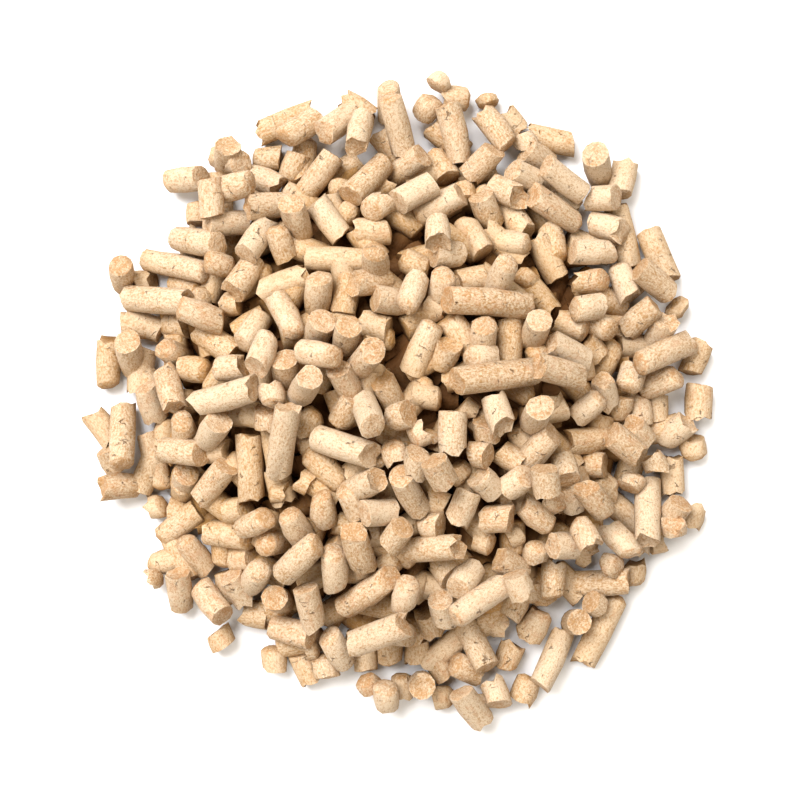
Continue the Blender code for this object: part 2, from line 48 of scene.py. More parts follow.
# Where each pellet lies, in mm, as read off the photo: one end of its axis, the other end, and
# its rise in degrees. A rise of 0 is a lying pellet, which settles on what is below it. Any other
# rise is a steep pellet, whose second end is the high one. +Y is the far side and +X the right.
lowestRows = (
    (-64.5, 30, -64, 31.5, 70), (-62, 28, -58, 28, 0), (-53, 27.5, -46, 25.5, 0),
    (-46, 22.5, -44.5, 24.5, 50), (-40, 22, -36, 22.5, 0), (-65.5, 18, -57.5, 17, 0),
    (-55, 18, -49, 17.5, 0), (-68.2, 14.5, -68.7, 2.5, 0), (-60, 12.5, -61.5, 2, 0),
    (-72, -3.5, -67.5, -9.5, 0), (-68, -11.5, -66.5, -16.5, 0), (-69, -20.5, -60.5, -20.2, 0),
    (-59, -8, -55.5, -21.5, 0), (-59, -25.5, -54.5, -25, 0), (-49.5, -19, -48.5, -17, 60),
    (-43, -12, -38.5, -11.5, 0), (-59, -39.5, -52.5, -37.8, 0), (-58, -42.3, -55.5, -41.5, 0),
    (-51.2, -40.5, -50.8, -50.2, 0), (-42.5, -54.8, -41, -58.6, 0), (-39.5, -37.5, -33, -37, 0),
    (-36, -50.5, -30, -51.5, 0), (-29.5, -58.5, -28.6, -64, 0), (-23, -60.5, -20, -67, 0),
    (-18, -60, -16, -65.5, 0), (-7.5, -58.5, -7.2, -64.5, 0), (-1.5, -55.5, -1.5, -63, 0),
    (-8, -65.5, -6, -67.8, 0), (1, -65, 1.5, -71, 0), (5, -57.5, 5, -62.5, 0), (9.5, -62, 12, -65.5, 0),
    (9, -71, 14, -70.5, 0), (16, -73.5, 22, -72.5, 0), (22.8, -67, 24.5, -71.5, 0),
    (32, -65.5, 29.8, -71.5, 0), (53, -46.5, 44.5, -62.5, 0), (40, -55.5, 34, -67, 0),
    (56.5, -39, 57, -44.5, 0), (43, -36.5, 46.5, -37.5, 0), (60, -34, 63.5, -33.5, 0),
    (57, -31, 57, -36.5, 0), (64.5, -27.5, 66.5, -24, 45), (71, -25.5, 69.8, -30, 0),
    (70, -9, 71.5, -14.5, 0), (65.5, -13.5, 66, -22.5, 0), (73, 13.5, 70, 6.5, 0),
    (72.2, 3.5, 71.8, -4, 0), (62, 1, 62, -5.5, 0), (57.5, 1, 57.5, -6, 0), (52, 13, 59, 13, 0),
    (44, 14, 47, 10, 0), (38, 18, 44, 16, 0), (42.5, 8.5, 44, 4, 0), (53, 1, 51.5, -5, 0),
    (46, -18.5, 51, -22, 0), (42.5, -15, 48.5, -15, 0), (39, -20.5, 43, -18, 0), (39.5, -21, 41, -25, 0),
    (35, -23.5, 38, -22, 0), (55, -15.5, 59, -15.5, 0), (65, 23, 69, 21, 0), (60, 40, 65, 28, 0),
    (52.3, 46.5, 56, 31.5, 0), (47, 42, 53, 39.5, 0), (47.5, 54.8, 46.2, 57, 60),
    (54.8, 56.5, 52.8, 48.5, 0), (32, 62.8, 42, 60.8, 0), (25.8, 68.3, 29.3, 63.8, 0),
    (29.3, 62.5, 31, 60, 0), (11.3, 71.8, 17.5, 71.3, 0), (8.8, 73.5, 12, 76.2, 0), (6, 67, 9, 71, 0),
    (21, 73, 22.5, 69.5, 0), (26, 46, 30, 38.5, 0), (15.5, 50, 16.5, 45.5, 0), (30.5, 58.5, 36.5, 56, 0),
    (35, 50, 43, 45, 0), (14.5, -1.5, 17, -3.5, 0), (20, -5, 20.5, -8.5, 0), (8.5, -6.5, 8.5, -9.5, 0),
    (14, 26.5, 20.5, 28, 0), (6.5, 22, 10, 21, 0), (11.5, 18.5, 17.5, 11, 0), (29.5, 9.5, 35, 10, 0),
    (23, -22.5, 26, -21.5, 0), (-35, -3, -29.5, -4, 0), (-28.5, -2, -28.5, -7, 0),
    (-22, -18, -19, -19, 0), (-15, -32.5, -12.5, -36, 0), (-5.3, -13.3, -4.3, -12.3, 60),
    (-21, -58.7, -18, -58, 0), (6.5, -43, 11.5, -43.5, 0), (20.5, -52, 25, -54, 0),
    (-32.5, 63.5, -20, 68.5, 0), (-1.5, 72, -1.5, 73, 60), (-48, 52, -45.5, 52, 30),
    (-47, 47, -47, 42, 0), (-39.5, 57.5, -39, 59, 65), (-13.5, 52, -12.5, 47, 0),
    (-13, 44.5, -9, 41.5, 0), (-9, 38.5, -1, 38.5, 0),
)
middleRows = (
    (-59, 33.5, -43.5, 29.5, 0), (-44, 32, -37.5, 30.5, 0), (-51.5, 38, -40.5, 35.5, 0),
    (-63, 24, -48, 22.5, 0), (-62.5, 11, -62.5, 13.5, 55), (-51, 10, -54, 12.5, 60),
    (-49, 7.5, -43, 6.5, 0), (-53, 4.5, -50.3, -1.8, 35), (-46, 16, -36, 10, 0), (-41, 7, -34.5, 7.5, 0),
    (-32.5, 32, -37, 24.5, 0), (-58.7, 3, -57, -4.3, 0), (-20.5, 32.5, -5, 31.5, 0),
    (-30.5, 25, -20.5, 28.5, 0), (-17.5, 23, -17, 27.5, 50), (-17.5, 15, -16, 17.5, 60),
    (-10.5, 27.5, -12, 19.5, 0), (-9.5, 26, -2.5, 27, 0), (-7.5, 17.5, -1.5, 15.5, 0),
    (-24.5, 7.5, -24.5, 9, 60), (-10.5, 3, -12.5, 7, 40), (-6.5, 6, -7.5, 0.5, 0), (-30, 20, -35, 12, 0),
    (1, 32.5, 7.5, 29, 0), (8.5, 32.5, 14, 33, 0), (10.5, 25.5, 11, 28.5, 45), (28.5, 26, 31.5, 29.5, 0),
    (12, 12.5, 10, 6.5, 0), (19.5, 14, 19.5, 17, 55), (26, 18.5, 25.5, 8, 0), (31.5, 15.5, 32, 18, 60),
    (16, 9.5, 22, 9.5, 0), (46.5, 25, 55, 21.5, 0), (52, 32, 55, 24, 0), (43, 27.5, 49, 28, 0),
    (47.5, 17, 50, 15.5, 40), (62, 15.5, 63, 18.5, 50), (62.5, 4.5, 66, 6, 30), (55.5, 7, 53, 2, 0),
    (47.5, 4.5, 49, -1, 0), (-21, 64.5, -26.5, 60.5, 20), (-34, 57, -27.5, 57.5, 0),
    (-26, 51, -23, 58, 0), (-12.5, 66, -17, 62, 35), (-12.5, 71.5, -6, 67, 0), (-1.5, 70, 2, 58.5, 0),
    (-18.5, 45.5, -12.5, 37.5, 0), (-34, 53.5, -27.5, 50, 0), (-38, 56, -36, 55, 50),
    (-43.5, 40.5, -35, 41.5, 0), (4, 42, 15, 47.5, 0), (9, 58, 12.5, 52, 0), (22.5, 50, 28.5, 46.8, 0),
    (27, 53, 33, 51, 0), (15.5, 42, 20, 33.5, 0), (46, 47.5, 51.5, 47.3, 0), (3, 55, 6, 57, 40),
    (-65, -1.5, -63.5, -15.5, 0), (-49, -6.5, -49, -4.5, 60), (-54, -11.5, -44.5, -12.2, 0),
    (-42.5, -8, -39.5, -5, 50), (-38.5, -15, -45, -22.5, 0), (-56.5, -33.5, -46.7, -26, 0),
    (-50, -32, -45, -40.3, 0), (-40, -26, -34.5, -25, 0), (-44, -31, -33.5, -32, 0),
    (-33.5, -8, -33, -23, 0), (-28, 3, -26.7, -1.5, 0), (-20.5, -7.5, -17.5, -2, 0),
    (-9.5, 0.5, -13, -6, 0), (-20.5, -11, -11.5, -19.5, 0), (-1.5, -9, 0.5, -13.5, 0),
    (-7, -19, -4, -17.5, 45), (-11, -19, -8.5, -25, 0), (2.5, -19.5, 1, -16.5, 40),
    (-17.5, -21, -15.5, -28.5, 0), (-22, -29.5, -24.5, -25, 45), (-29, -21, -25, -21, 0),
    (-32, -28, -28.5, -26, 40), (-27.5, -32.5, -30, -32.5, 70), (-8.5, -33, -9.5, -29.5, 35),
    (-6.5, -30.5, -2, -30.5, 0), (35, 1, 36.5, -3, 0), (27.5, -6, 29.5, -10, 0),
    (31.5, -11.5, 35, -7.5, 30), (3, -8.5, 6.5, -7, 0), (23.5, -11.5, 28, -14.5, 0),
    (25.5, -19.5, 29.5, -16.5, 0), (5, -11.5, 4, -16, 0), (13, -15, 16, -18, 0),
    (6.5, -22.5, 11, -23.8, 0), (16.5, -20.5, 13.5, -27.5, 0), (5, -28.5, 10, -28, 0),
    (25.5, -31.5, 29, -30, 0), (18.5, -31.5, 22.5, -33, 0), (32.5, -32.5, 32, -36.5, 0),
    (23.5, -36, 29.5, -40.3, 0), (55, -6, 58.5, -10, 0), (60, -13, 61.5, -16.5, 0),
    (59.8, -19.5, 58.2, -32.8, 0), (64.5, -28.5, 65, -31.5, 0), (38, -13.5, 39, -18, 0),
    (-44.5, -46, -40.5, -50.5, 30), (-38.5, -41, -35.8, -46.3, 0), (-32.5, -41, -30.8, -38.5, 60),
    (-27.5, -46.5, -28, -45.5, 75), (-19.5, -48, -20.5, -42.5, 30), (-14, -33, -13.5, -43.5, 0),
    (-7.5, -35.5, -7.5, -41, 0), (1, -35, -3, -39, 0), (-29, -53.5, -19.5, -55, 0),
    (-16, -54, -11.5, -62.5, 0), (-2.5, -66.5, -2, -73, 0), (1, -54.5, 3.5, -54.5, 50),
    (7, -49.5, 9, -55, 0), (10, -37, 12.5, -40.5, 0), (18.5, -37, 14, -42.5, 0),
    (10, -45.5, 11.5, -51, 0), (32, -41.5, 35.5, -47.5, 0), (29.5, -45.5, 27, -51.5, 0),
    (13, -61.5, 19.5, -65, 0), (28, -58, 25.5, -64, 0), (35, -50, 31.5, -57, 0), (6, -67.2, 6, -66.2, 80),
    (17, -71, 15, -68, 30), (42, -44, 54.5, -42.5, 0), (48, -38, 52, -39, 0), (45.5, -47, 47.5, -48.5, 0),
    (42.3, -52.3, 42.5, -51.5, 80),
)
upperRows = (
    (-49.5, 21.5, -39.5, 17.5, 0), (-44.5, -1, -31, 2.5, 0), (-30, 40.5, -34, 33, 0),
    (-27.5, 39.5, -25, 32.5, 0), (-4.5, 31.5, -4.5, 33, 70), (-27, 23.5, -22, 14, 0),
    (-4.5, 22.5, 1, 22, 0), (-11, 13.5, -10, 16, 65), (-6.5, 9, -5, 10.5, 65), (-22, 11, -12.5, 9, 0),
    (-28, 14.5, -30.5, 7, 0), (-19.5, 3.5, -18.5, 5, 65), (-3, 4.5, 0.5, -2.5, 0), (5, 27.5, 2, 19.5, 0),
    (23.5, 27.5, 25, 31, 55), (11.5, 22.2, 30, 21.5, 0), (8.5, 17.5, 3.5, 6.5, 0), (35, 13, 43, 9, 0),
    (13, 4, 31.5, 6.5, 0), (31, 7.5, 41.5, 5, 0), (36, 40.5, 38, 32, 0), (41, 34.5, 51.5, 34.5, 0),
    (56.5, 30.5, 64, 25.5, 0), (40, 20.5, 47, 21.5, 0), (54, 16.5, 60, 22, 0), (55, 8, 68.5, 13.5, 0),
    (-22, 48, -14.5, 57, 0), (-8.5, 62.5, -9.5, 58, 40), (-10.5, 46.5, -2, 56, 0),
    (-34, 44, -26, 45.5, 0), (-22.5, 40.5, -23.5, 44, 55), (-6.5, 42.5, -2.5, 45.5, 0),
    (-40.5, 48.5, -32.5, 49.5, 0), (-42.5, 50.5, -42, 42, 0), (12, 69, 15.5, 56.5, 0),
    (20.5, 68, 26.5, 59, 0), (17.5, 53, 23, 58, 0), (0.3, 44.8, 8.5, 49.5, 0), (9, 41, 9.5, 34.5, 0),
    (19.5, 47, 22.5, 40.8, 0), (34.5, 53.8, 44, 48, 0), (31.5, 47.5, 43, 41.3, 0),
    (23.5, 37, 31, 35.5, 0), (-23.5, -1.5, -26.5, -16.5, 0), (-17.5, -8.5, -5.5, -12, 0),
    (-6, -3, -5, -5.5, 60), (-1.5, -4.2, 3, -3, 0), (-7, -25, -0.5, -25, 0), (-17, -31, -26, -40, 0),
    (1.5, -28, -1.5, -32.5, 0), (3.5, 1.5, 10.5, 0, 0), (12.5, -2.5, 12.5, -11.5, 0),
    (21.5, 0.5, 23.5, -6, 0), (31, -3.5, 31.5, -1.5, 65), (16.5, -12, 20.5, -12.5, 0),
    (32.5, -15, 33.5, -20.5, 0), (8, -13, 11, -18.5, 0), (18.5, -17, 22, -20.5, 0),
    (20, -27, 26, -26.5, 0), (28.5, -23.5, 35.5, -29.5, 0), (3, -34, 14, -32.5, 0),
    (35.5, -33, 41, -33.3, 0), (46.8, 1.2, 41.5, -4.3, 0), (68.5, -5, 63, -10.5, 0),
    (39.5, -10, 50, -8.5, 0), (49.5, -7.8, 56, -13, 0), (54, -21, 56.5, -17.5, 0),
    (43, -20, 48.5, -26.5, 0), (41, -27, 44, -33, 0), (50, -30, 55, -36, 0), (-1, -40, -12.5, -48.5, 0),
    (3, -40, 1.5, -47.5, 0), (-10, -56, 2, -50, 0), (12.5, -48.5, 24.5, -41.5, 0),
    (26.5, -39, 28.5, -43.5, 0), (37, -38, 36.5, -46.5, 0), (16.5, -53.5, 21.5, -62.5, 0),
)

# How the pellets lie, in metres and degrees
bed = {"pelletDiameter": 0.0062, "diameterSpread": 0.05, "steepLength": 0.0110, "endSlant": 14.0,
       "nesting": 0.86, "steepestLying": 32.0, "layerRise": 0.0046, "steepProud": 0.0012,
       "highestLift": 0.0030, "height": 0.0200, "radius": 0.0570, "swell": 0.8, "sink": 0.0006,
       "stations": 11, "pitchSteps": 27, "flatterFirst": 1e-5, "seed": 11}


# Height of the mound of hidden pellets: height times (1 - (r / radius)^2)^swell, and 0 outside it.
def bedHeight(x, y):
    inside = np.clip(1 - (x * x + y * y) / bed["radius"] ** 2, 0, 1)
    return bed["height"] * inside ** bed["swell"]


# Lowest height of a pellet's axis at each point, over the floor, the mound and earlier pellets: the
# height at which its circle touches, at nesting times the two radii from the other axis.
def restHeights(x, y, radius, placed, placedRadii):
    mound = bedHeight(x, y)
    heights = np.maximum(np.where(mound > 0, mound + radius - bed["sink"], radius), radius)
    if len(placed):
        reach = bed["nesting"] * (radius + placedRadii)
        across = np.hypot(x[:, None] - placed[:, 0], y[:, None] - placed[:, 1])
        over = placed[:, 2] + np.sqrt(np.clip(reach ** 2 - across ** 2, 0, None))
        heights = np.maximum(heights, np.where(across < reach, over, 0).max(axis=1))
    return heights


# Centre, axis and length of a lying pellet. At a slope, its middle is as high as the most of rest
# height less slope times distance from the middle, over its stations, and the slope with the lowest
# middle is taken. It lies no higher than the layer's ceiling and no lower than the floor lets it.
def lyingPellet(endA, endB, radius, level, placed, placedRadii):
    middle = (endA + endB) / 2
    span = max(np.linalg.norm(endB - endA), radius)
    along = (endB - endA) / span
    steps = np.linspace(-0.5, 0.5, bed["stations"]) * span * (1 - radius / max(span, 2 * radius))
    heights = restHeights(middle[0] + steps * along[0], middle[1] + steps * along[1], radius,
                          placed, placedRadii)
    slopes = np.tan(np.radians(np.linspace(-bed["steepestLying"], bed["steepestLying"], bed["pitchSteps"])))
    middles = (heights[None, :] - slopes[:, None] * steps).max(axis=1)
    best = np.argmin(middles + bed["flatterFirst"] * np.abs(slopes))
    ceiling = bedHeight(*middle) + radius + level * bed["layerRise"] + bed["highestLift"]
    tilt = math.atan(slopes[best])
    height = max(min(middles[best], ceiling), radius * math.cos(tilt) + span / 2 * abs(slopes[best]))
    axis = np.array([along[0] * math.cos(tilt), along[1] * math.cos(tilt), math.sin(tilt)])
    return np.array([middle[0], middle[1], height]), axis, span / math.cos(tilt)


# Centre, axis and length of a steep pellet, whose low end is among the others. Its high end is at
# the mound's height, plus a layer's rise for each layer up to its own, plus how proud it stands.
def steepPellet(endA, endB, rise, radius, level):
    span = np.linalg.norm(endB - endA)
    along = (endB - endA) / span
    tilt = math.radians(rise)
    length = max(span / math.cos(tilt), bed["steepLength"])
    axis = np.array([along[0] * math.cos(tilt), along[1] * math.cos(tilt), math.sin(tilt)])
    top = bedHeight(*endB) + (level + 1) * bed["layerRise"] + bed["steepProud"]
    centre = np.array([endB[0], endB[1], top]) - axis * length / 2
    centre[2] = max(centre[2], radius * math.cos(tilt) + length / 2 * math.sin(tilt))
    return centre, axis, length


# Every pellet that shows, laid down layer by layer, the lying ones of a layer first.
def settlePellets():
    rng = np.random.default_rng(bed["seed"])
    pellets = []
    placed = np.empty((0, 3))
    placedRadii = np.empty(0)
    for level, rows in enumerate((lowestRows, middleRows, upperRows)):
        for steep in (False, True):
            for xa, ya, xb, yb, rise in rows:
                if (rise > 0) != steep:
                    continue
                radius = bed["pelletDiameter"] / 2 * (1 + bed["diameterSpread"] * rng.uniform(-1, 1))
                endA = np.array([xa, ya]) * mm
                endB = np.array([xb, yb]) * mm
                if steep:
                    centre, axis, length = steepPellet(endA, endB, rise, radius, level)
                else:
                    centre, axis, length = lyingPellet(endA, endB, radius, level, placed, placedRadii)
                slants = np.tan(np.radians(bed["endSlant"])) * rng.uniform(-1, 1, (2, 2))
                pellets.append(dict(level=level, centre=centre, axis=axis, length=length, radius=radius,
                                    slants=slants, turn=rng.uniform(0, math.tau)))
                inset = min(radius, length / 2) / 2
                steps = np.linspace(-0.5, 0.5, bed["stations"]) * (length - 2 * inset)
                placed = np.vstack([placed, centre + steps[:, None] * axis])
                placedRadii = np.append(placedRadii, np.full(bed["stations"], radius))
    return pellets


# The direction across an axis that the CAD takes, and the one square to both.
def crossDirections(axes):
    across = np.array([list(Vector(axis).orthogonal().normalized()) for axis in axes])
    return across, np.cross(axes, across)


print("settling")
pellets = settlePellets()

# How a pellet's surface is drawn: lengths in metres, angles in degrees, and the rest are shares and
# counts. Each tooth wave has its times round the rim and its weight. Each side wave has its times
# round, its waves per metre along the pellet and its weight.
form = {"sides": 12, "capRings": (0.55, 0.93), "bodyRings": 3, "edgeStep": 0.012, "sharpAngle": 42,
        "domeShare": 0.30, "domeSizes": (0.5, 1.1), "domeDepth": 0.0026, "domeReach": 0.90,
        "flatShare": 0.28, "flatTeeth": 0.00026, "flatRelief": 0.00028,
        "tornSizes": (0.6, 1.2), "tornTeeth": 0.00105, "tornRelief": 0.00072, "cupDepth": 0.0007,
        "reliefWaves": 5, "slowestRelief": 2.2, "reliefStep": 1.3,
        "toothWaves": ((2, 0.25), (3, 0.3), (4, 0.25), (5, 0.4)),
        "sideWaves": ((2, 0, 1.0), (3, 1 / 0.009, 0.7), (0, 1 / 0.0055, 0.8)), "wobble": 0.017,
        "chipDepth": 0.0008, "chipReach": 0.0014, "chipRarity": 1.5,
        "taper": 0.07, "leastTaper": 0.3, "taperReach": 0.0012,
        "bendShare": 0.018, "bendRest": 0.33, "patternReach": 400, "seed": 5}

# The first of a pellet's random phases that each of these takes, how many phases there are, and how
# far they are moved on for the relief and teeth of its second end
phaseAt = {"reliefTurns": 0, "relief": 5, "teeth": 10, "sideWaves": 14, "chips": 17, "cups": 20}
phaseCount = 24
secondEnd = 7


# Random numbers between low and high, one row for each pellet.
def randomRows(rng, count, low, high, width=1):
    return rng.uniform(low, high, (count, width))


# Random facts of each pellet's look: how domed or torn its two ends are, its waves, bend and chips,
# its tone and warmth, and where in the pattern, in millimetres, its sawdust is taken from.
def pelletTraits(count, rng):
    kinds = randomRows(rng, count, 0, 1, 2)
    dome = kinds < form["domeShare"]
    torn = kinds > form["domeShare"] + form["flatShare"]
    return {"dome": dome * rng.uniform(*form["domeSizes"], kinds.shape),
            "torn": torn * rng.uniform(*form["tornSizes"], kinds.shape),
            "phases": randomRows(rng, count, 0, math.tau, phaseCount),
            "bend": randomRows(rng, count, -1, 1, 2),
            "chips": randomRows(rng, count, 0, 1, 2) ** form["chipRarity"],
            "tone": randomRows(rng, count, 0, 1),
            "warmth": randomRows(rng, count, 0, 1),
            "offset": randomRows(rng, count, -form["patternReach"], form["patternReach"], 3)}


# The rows of every trait that belong to these pellets.
def traitsOf(traits, indices):
    return {name: values[indices] for name, values in traits.items()}


# One column of a table with a row for each pellet, shaped to go with a grid of rings and sides.
def column(table, place):
    return table[:, place, None, None]


# Relief of a broken end at (x, y) in radii: the mean of a few waves with different directions, each
# the cosine of its wave number times the distance along its direction, plus a phase.
def endRelief(x, y, phases):
    total = 0
    for k in range(form["reliefWaves"]):
        turn = column(phases, phaseAt["reliefTurns"] + k)
        distance = x * np.cos(turn) + y * np.sin(turn)
        number = form["slowestRelief"] + form["reliefStep"] * k
        total = total + np.cos(number * distance + column(phases, phaseAt["relief"] + k))
    return total / form["reliefWaves"]


# Teeth round a broken rim at an angle: the sum of each tooth wave's weight times the cosine of its
# times round times the angle, plus a phase.
def rimTeeth(angle, phases):
    total = 0
    for k, (times, weight) in enumerate(form["toothWaves"]):
        total = total + weight * np.cos(times * angle + column(phases, phaseAt["teeth"] + k))
    return total


# Height of one end's cap along the axis from the pellet's middle, at rho radii from the axis and at
# an angle. From the flat end at half the length it goes down by the dome's depth times a ball's fall,
# 1 - root(1 - (reach * rho)^2), and by the cup's depth times 1 - rho^4 on a torn end. It goes up by
# the relief, and by the teeth times rho^6, which are both stronger on a torn end. The slants tilt it.
def capHeight(end, rho, angle, radius, length, slants, traits):
    dome = column(traits["dome"], end)
    torn = column(traits["torn"], end)
    flat = 1 - np.minimum(torn, 1)
    phases = np.roll(traits["phases"], secondEnd * end, axis=1)
    ball = 1 - np.sqrt(1 - (form["domeReach"] * rho) ** 2)
    cup = np.abs(np.cos(column(traits["phases"], phaseAt["cups"] + end))) * (1 - rho ** 4)
    relief = endRelief(rho * np.cos(angle), rho * np.sin(angle), phases)
    teeth = rimTeeth(angle, phases) * rho ** 6
    out = (relief * (form["tornRelief"] * torn + form["flatRelief"] * flat)
           + teeth * (form["tornTeeth"] * torn + form["flatTeeth"] * flat)
           - form["domeDepth"] * dome * ball - form["cupDepth"] * torn * cup)
    tilt = column(slants[:, end], 0) * np.cos(angle) + column(slants[:, end], 1) * np.sin(angle)
    return (2 * end - 1) * (length / 2 + out) + radius * rho * tilt


# Radius at a distance along the axis and at an angle: the pellet's, times 1 plus its side waves, less
# a chip and a taper at each end. The chip is at one side, as the cube of the cosine from its middle,
# and the taper is stronger at domed ends. Both fade out from the rim as exp(-(distance / reach)^2).
def sideRadius(along, rims, angle, radius, traits):
    phases = traits["phases"]
    share = 1
    for k, (times, perMetre, weight) in enumerate(form["sideWaves"]):
        turn = times * angle + along * math.tau * perMetre + column(phases, phaseAt["sideWaves"] + k)
        share = share + form["wobble"] * weight * np.cos(turn)
    for end, rim in enumerate(rims):
        facing = np.clip(np.cos(angle - column(phases, phaseAt["chips"] + end)), 0, 1) ** 3
        chip = np.exp(-((along - rim) / form["chipReach"]) ** 2) * facing * column(traits["chips"], end)
        taper = np.exp(-((along - rim) / form["taperReach"]) ** 2)
        taper = taper * (form["leastTaper"] + column(traits["dome"], end))
        share = share - chip * form["chipDepth"] / radius - taper * form["taper"]
    return radius * share


# How far a pellet's middle line is bowed to a side at a distance along it: the length times the bend's
# share times (2 * distance / length)^2 less a constant that leaves the whole where it was.
def bowAt(along, length):
    return ((2 * along / length) ** 2 - form["bendRest"]) * length * form["bendShare"]


# Points of many pellets on one grid of rings and sides: a cap from its middle out to the rim, the
# body, and the other cap back in, then the middles of the two ends. A ring's points lie at their
# height along the axis and at rho times the side radius from it, and the whole is bowed. With them
# come the same points in each pellet's own millimetres, and 1 for a point of a cap.
def pelletSurfaces(pellets, traits, sides, capRings, bodyRings):
    count = len(pellets)
    radius = np.array([p["radius"] for p in pellets])[:, None, None]
    length = np.array([p["length"] for p in pellets])[:, None, None]
    turn = np.array([p["turn"] for p in pellets])[:, None, None]
    slants = np.array([p["slants"] for p in pellets])
    centres = np.array([p["centre"] for p in pellets])[:, None, :]
    axes = np.array([p["axis"] for p in pellets])
    across, up = crossDirections(axes)
    angle = turn + math.tau * np.arange(sides) / sides
    rho = np.array(capRings + (1.0,))[None, :, None]

    caps = [capHeight(end, rho, angle, radius, length, slants, traits) for end in (0, 1)]
    rims = [cap[:, -1:] for cap in caps]
    shares = np.linspace(form["edgeStep"], 1 - form["edgeStep"], bodyRings)[:, None]
    body = rims[0] + (rims[1] - rims[0]) * shares
    along = np.concatenate([caps[0][:, :-1], body, caps[1][:, :-1][:, ::-1]], axis=1)
    capOuts = [sideRadius(rim, rims, angle, radius, traits) * rho[:, :-1] for rim in rims]
    bodyOut = sideRadius(body, rims, angle, radius, traits)
    out = np.concatenate([capOuts[0], bodyOut, capOuts[1][:, ::-1]], axis=1)
    bow = bowAt(along, length)
    u = out * np.cos(angle) + bow * column(traits["bend"], 0)
    v = out * np.sin(angle) + bow * column(traits["bend"], 1)
    rings = np.stack([along, u, v], axis=-1).reshape(count, -1, 3)

    tips = np.stack([cap[:, 0].mean(axis=1) for cap in caps], axis=1)
    tipBow = bowAt(tips, length[:, 0])
    ends = np.stack([tips, tipBow * traits["bend"][:, :1], tipBow * traits["bend"][:, 1:]], axis=-1)
    local = np.concatenate([rings, ends], axis=1)
    points = centres + local @ np.stack([axes, across, up], axis=1)

    capped = np.ones((count, along.shape[1], sides))
    if capRings:
        capped[:, len(capRings):-len(capRings)] = 0
    cap = np.concatenate([capped.reshape(count, -1), np.ones((count, 2))], axis=1)
    return points, local / mm, cap


# Faces of one pellet: quads between the rings, and a fan to the middle of each end.
def pelletFaces(ringCount, sides):
    ring = np.arange(ringCount - 1)[:, None] * sides
    side = np.arange(sides)[None, :]
    following = (side + 1) % sides
    quads = np.stack([ring + side, ring + following, ring + sides + following, ring + sides + side], axis=-1)
    low = np.stack([following[0], side[0], np.full(sides, ringCount * sides)], axis=-1)
    last = (ringCount - 1) * sides
    high = np.stack([last + side[0], last + following[0], np.full(sides, ringCount * sides + 1)], axis=-1)
    return quads.reshape(-1, 4), np.concatenate([low, high])


# Mesh object from arrays of points, quads and triangles.
def arrayObject(name, points, quads, triangles):
    data = bpy.data.meshes.new(name)
    data.vertices.add(len(points))
    data.vertices.foreach_set("co", points.astype(np.float32).ravel())
    corners = np.concatenate([quads.ravel(), triangles.ravel()]).astype(np.int32)
    starts = np.concatenate([np.arange(len(quads)) * 4, quads.size + np.arange(len(triangles)) * 3])
    data.loops.add(len(corners))
    data.loops.foreach_set("vertex_index", corners)
    data.polygons.add(len(starts))
    data.polygons.foreach_set("loop_start", starts.astype(np.int32))
    data.update(calc_edges=True)
    data.validate()
    obj = bpy.data.objects.new(name, data)
    bpy.context.scene.collection.objects.link(obj)
    return obj


# One value or vector for each point, for the material to read.
def pointAttribute(obj, name, values):
    kind = "FLOAT" if values.ndim == 1 else "FLOAT_VECTOR"
    layer = obj.data.attributes.new(name, kind, "POINT")
    layer.data.foreach_set("value" if values.ndim == 1 else "vector", values.astype(np.float32).ravel())


# One object of these pellets, none below the floor, with the attributes that its material reads: the
# place in the pattern, the place in the pellet, cap, tone, warmth, and the depth under the mound's
# surface in millimetres, from which the material paints shade.
def pelletPiece(name, chosen, traits, look, material):
    points, local, cap = pelletSurfaces(chosen, traits, look["sides"], look["capRings"], look["bodyRings"])
    points[..., 2] = np.maximum(points[..., 2], 0)
    count, size = points.shape[:2]
    quads, triangles = pelletFaces(2 * len(look["capRings"]) + look["bodyRings"], look["sides"])
    shift = (np.arange(count) * size)[:, None, None]
    obj = arrayObject(name, points.reshape(-1, 3), (quads + shift).reshape(-1, 4),
                      (triangles + shift).reshape(-1, 3))
    pointAttribute(obj, "pelletPlace", (local + traits["offset"][:, None, :]).reshape(-1, 3))
    pointAttribute(obj, "pelletAcross", local.reshape(-1, 3))
    pointAttribute(obj, "pelletCap", cap.reshape(-1))
    pointAttribute(obj, "pelletTone", np.repeat(traits["tone"], size, axis=1).reshape(-1))
    pointAttribute(obj, "pelletWarmth", np.repeat(traits["warmth"], size, axis=1).reshape(-1))
    # Depth under the mound's surface, which the material turns into painted shade
    depth = bedHeight(points[..., 0], points[..., 1]) - points[..., 2]
    pointAttribute(obj, "paintedShadeDepth", depth.reshape(-1) / mm)
    obj.data.polygons.foreach_set("use_smooth", np.ones(len(obj.data.polygons), bool))
    obj.data.set_sharp_from_angle(angle=math.radians(form["sharpAngle"]))
    obj.data.materials.append(material)
    return obj


# A node socket that takes part in sums: + - and * make Math nodes.
class Value:
    def __init__(self, nodes, socket):
        self.nodes = nodes
        self.socket = socket

    def __add__(self, other):
        return self.nodes.maths("ADD", self, other)

    def __radd__(self, other):
        return self.nodes.maths("ADD", other, self)

    def __sub__(self, other):
        return self.nodes.maths("SUBTRACT", self, other)

    def __rsub__(self, other):
        return self.nodes.maths("SUBTRACT", other, self)

    def __mul__(self, other):
        return self.nodes.maths("MULTIPLY", self, other)

    def __rmul__(self, other):
        return self.nodes.maths("MULTIPLY", other, self)


